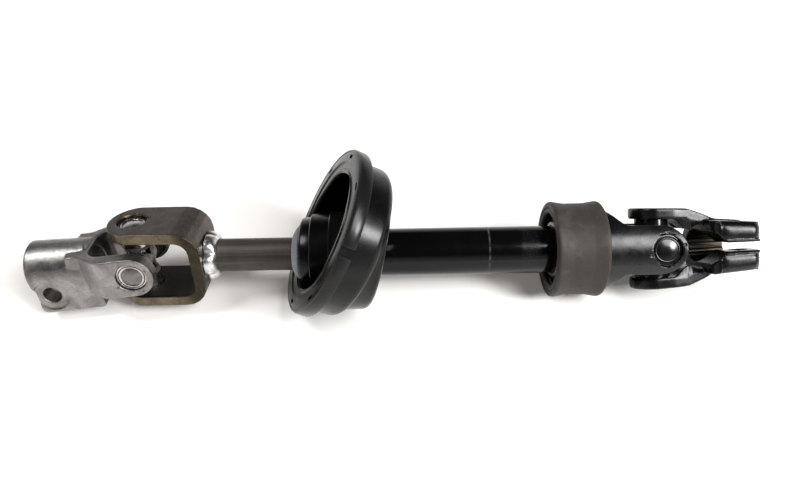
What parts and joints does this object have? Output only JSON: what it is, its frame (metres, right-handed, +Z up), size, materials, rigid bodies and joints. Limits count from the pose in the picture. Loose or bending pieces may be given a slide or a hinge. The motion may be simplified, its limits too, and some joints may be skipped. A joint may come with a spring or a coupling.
{
  "type": "intermediate steering shaft",
  "caption": "Telescoping steering shaft with a cardan joint at each end, split clamp yokes, a rubber isolator ring and a leaning rubber bulkhead boot.",
  "frame": {"origin": "centre of the bounding box's base, on the surface that the shaft lies on", "axes": "+X along the shaft towards the upper joint, +Z up with the shaft lying on its isolator ring, +Y across it, away from the pinch bolt of the lower yoke"},
  "size_m": [0.3595, 0.0836, 0.0812],
  "materials": {
    "forged_steel": "bare forging, shot blasted, bright on its high edges",
    "strap_steel": "brown-grey phosphate over rolled steel",
    "shaft_steel": "oiled drawn bar with fine lengthwise lines",
    "bearing_steel": "ground and satin",
    "weld_metal": "bright rippled weld",
    "gloss_black_paint": "gloss black paint",
    "satin_black_paint": "satin black dip coat",
    "boot_rubber": "satin moulded rubber",
    "ring_rubber": "matt moulded rubber",
    "seal_rubber": "matt rubber",
    "slide_nylon": "natural nylon",
    "wiper_felt": "blue-grey felt"
  },
  "bodies": {
    "tube": {"outer_tube": "gloss_black_paint", "tube_yoke": "satin_black_paint", "isolator_ring": "ring_rubber", "isolator_bush": "ring_rubber", "bush_sleeve": "bearing_steel", "tube_yoke_cup_a": "bearing_steel", "tube_yoke_cup_b": "bearing_steel", "tube_yoke_needles_a": "bearing_steel", "tube_yoke_needles_b": "bearing_steel"},
    "upper_cross": {"upper_cross": "bearing_steel", "upper_seal_a": "seal_rubber", "upper_seal_b": "seal_rubber", "upper_seal_c": "seal_rubber", "upper_seal_d": "seal_rubber"},
    "upper_end_yoke": {"upper_end_yoke": "satin_black_paint", "end_yoke_cup_a": "bearing_steel", "end_yoke_cup_b": "bearing_steel", "end_yoke_needles_a": "bearing_steel", "end_yoke_needles_b": "bearing_steel"},
    "inner_shaft": {"inner_shaft": "shaft_steel", "slide_sleeve": "slide_nylon", "strap_yoke": "strap_steel", "weld_bead": "weld_metal", "strap_yoke_cup_a": "bearing_steel", "strap_yoke_cup_b": "bearing_steel", "strap_yoke_needles_a": "bearing_steel", "strap_yoke_needles_b": "bearing_steel"},
    "lower_cross": {"lower_cross": "bearing_steel", "lower_seal_a": "seal_rubber", "lower_seal_b": "seal_rubber", "lower_seal_c": "seal_rubber", "lower_seal_d": "seal_rubber"},
    "lower_clamp_yoke": {"lower_clamp_yoke": "forged_steel", "clamp_yoke_cup_a": "bearing_steel", "clamp_yoke_cup_b": "bearing_steel", "clamp_yoke_needles_a": "bearing_steel", "clamp_yoke_needles_b": "bearing_steel"},
    "boot": {"boot": "boot_rubber", "boot_bush": "slide_nylon", "wiper_seal": "wiper_felt"}
  },
  "joints": [
    {"name": "upper_cross_hinge", "type": "hinge", "parent": "tube", "child": "upper_cross", "pos_m": [0.13435, 0.004, 0.0244], "axis": [0, -0.7193, 0.6947], "range_deg": [-16, 16]},
    {"name": "upper_yoke_hinge", "type": "hinge", "parent": "upper_cross", "child": "upper_end_yoke", "pos_m": [0.13435, 0.004, 0.0244], "axis": [-0.0349, 0.6942, 0.7189], "range_deg": [-20, 20]},
    {"name": "telescope_slide", "type": "slide", "parent": "tube", "child": "inner_shaft", "axis": [1, 0, 0], "range_m": [-0.025, 0.03]},
    {"name": "lower_cross_hinge", "type": "hinge", "parent": "inner_shaft", "child": "lower_cross", "pos_m": [-0.12695, 0.004, 0.0244], "axis": [0, 0.2756, 0.9613], "range_deg": [-25, 25]},
    {"name": "lower_yoke_hinge", "type": "hinge", "parent": "lower_cross", "child": "lower_clamp_yoke", "pos_m": [-0.12695, 0.004, 0.0244], "axis": [0.0889, -0.9575, 0.2745], "range_deg": [-25, 25]},
    {"name": "boot_spin", "type": "hinge", "parent": "tube", "child": "boot", "pos_m": [0.00535, 0.004, 0.0244], "axis": [1, 0, 0], "continuous": true}
  ]
}
